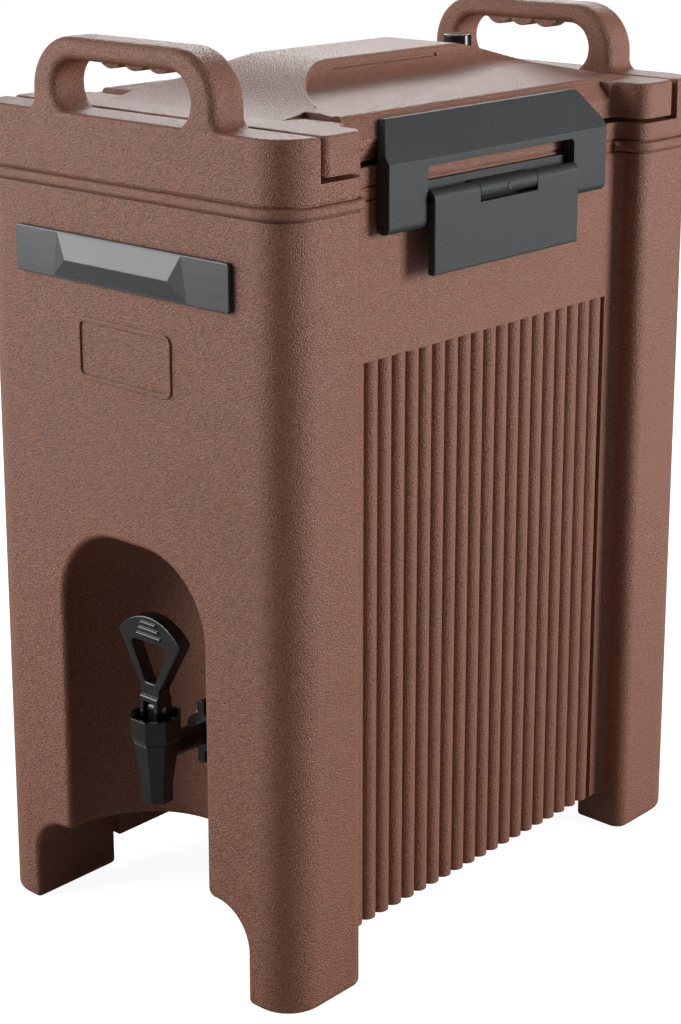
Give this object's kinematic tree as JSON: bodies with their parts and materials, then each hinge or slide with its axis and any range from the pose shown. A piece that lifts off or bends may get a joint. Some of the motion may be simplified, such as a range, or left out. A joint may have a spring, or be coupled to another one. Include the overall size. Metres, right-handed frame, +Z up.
{
  "type": "insulated beverage dispenser",
  "caption": "Tall double-walled moulded beverage dispenser with a lift-off lid, draw latches, carrying handles and a lever tap in an arched niche.",
  "frame": {"origin": "on the floor under the middle of the body", "axes": "+Z up, the tap and nameplate face -Y"},
  "size_m": [0.281, 0.429, 0.594],
  "materials": {
    "shell": "fine-grained brown polyethylene",
    "lining": "smooth brown polyethylene",
    "foam": "rigid closed-cell foam",
    "nameplate": "glossy dark grey, bare",
    "latch": "grained charcoal nylon",
    "tap": "glossy black",
    "vent": "glossy black",
    "seal": "pale silicone rubber",
    "steel": "plain stainless steel"
  },
  "bodies": {
    "base": {"outer_shell": "shell", "foam_insulation": "foam", "inner_tank": "lining", "nameplate": "nameplate", "faucet_body": "tap", "faucet_bonnet": "tap", "shank_collar": "tap", "shank_outer_washer": "seal", "shank_inner_washer": "seal", "shank_nut": "tap", "latch_bracket_right": "latch", "bracket_screws_right": "steel", "knuckle_screw_right": "steel", "lever_pin_right": "steel", "latch_bracket_left": "latch", "bracket_screws_left": "steel", "knuckle_screw_left": "steel", "lever_pin_left": "steel"},
    "lid": {"lid_cover": "shell", "lid_foam": "foam", "lid_liner": "lining", "lid_gasket": "seal", "lid_screws": "steel", "vent_sleeve": "vent", "vent_gasket": "seal"},
    "vent": {"vent_cap": "vent"},
    "valve": {"valve_stem": "tap", "seat_cup": "seal", "handle_pin": "steel", "valve_spring": "steel"},
    "handle": {"tap_handle": "tap"},
    "lever_right": {"latch_lever_right": "latch", "bail_pin_right": "steel"},
    "bail_right": {"latch_bail_right": "latch"},
    "lever_left": {"latch_lever_left": "latch", "bail_pin_left": "steel"},
    "bail_left": {"latch_bail_left": "latch"}
  },
  "joints": [
    {"name": "lid_lift", "type": "slide", "parent": "base", "child": "lid", "axis": [0, 0, 1], "range_m": [0, 0.1]},
    {"name": "vent_turn", "type": "hinge", "parent": "lid", "child": "vent", "pos_m": [0, 0.11, 0.56], "axis": [0, 0, 1], "range_deg": [0, 90]},
    {"name": "valve_lift", "type": "slide", "parent": "base", "child": "valve", "axis": [0, 0, 1], "range_m": [0, 0.0017], "deforming": ["valve_spring"]},
    {"name": "tap_tilt", "type": "hinge", "parent": "valve", "child": "handle", "pos_m": [0, -0.19, 0.165], "axis": [1, 0, 0], "range_deg": [0, 30], "stiffness_Nm_per_rad": 0.3},
    {"name": "lever_right_swing", "type": "hinge", "parent": "base", "child": "lever_right", "pos_m": [0.128, 0, 0.497], "axis": [0, -1, 0], "range_deg": [0, 75]},
    {"name": "bail_right_swing", "type": "hinge", "parent": "lever_right", "child": "bail_right", "pos_m": [0.12375, 0, 0.484], "axis": [0, 1, 0], "range_deg": [0, 147]},
    {"name": "lever_left_swing", "type": "hinge", "parent": "base", "child": "lever_left", "pos_m": [-0.128, 0, 0.497], "axis": [0, 1, 0], "range_deg": [0, 75]},
    {"name": "bail_left_swing", "type": "hinge", "parent": "lever_left", "child": "bail_left", "pos_m": [-0.12375, 0, 0.484], "axis": [0, -1, 0], "range_deg": [0, 147]}
  ],
  "couplings": [
    {"joint": "valve_lift", "follows": "tap_tilt", "m_per_rad": 0.0031},
    {"joint": "lever_right_swing", "follows": "lid_lift", "rad_per_m": 13.08},
    {"joint": "bail_right_swing", "follows": "lid_lift", "rad_per_m": 25.64},
    {"joint": "lever_left_swing", "follows": "lid_lift", "rad_per_m": 13.08},
    {"joint": "bail_left_swing", "follows": "lid_lift", "rad_per_m": 25.64}
  ]
}
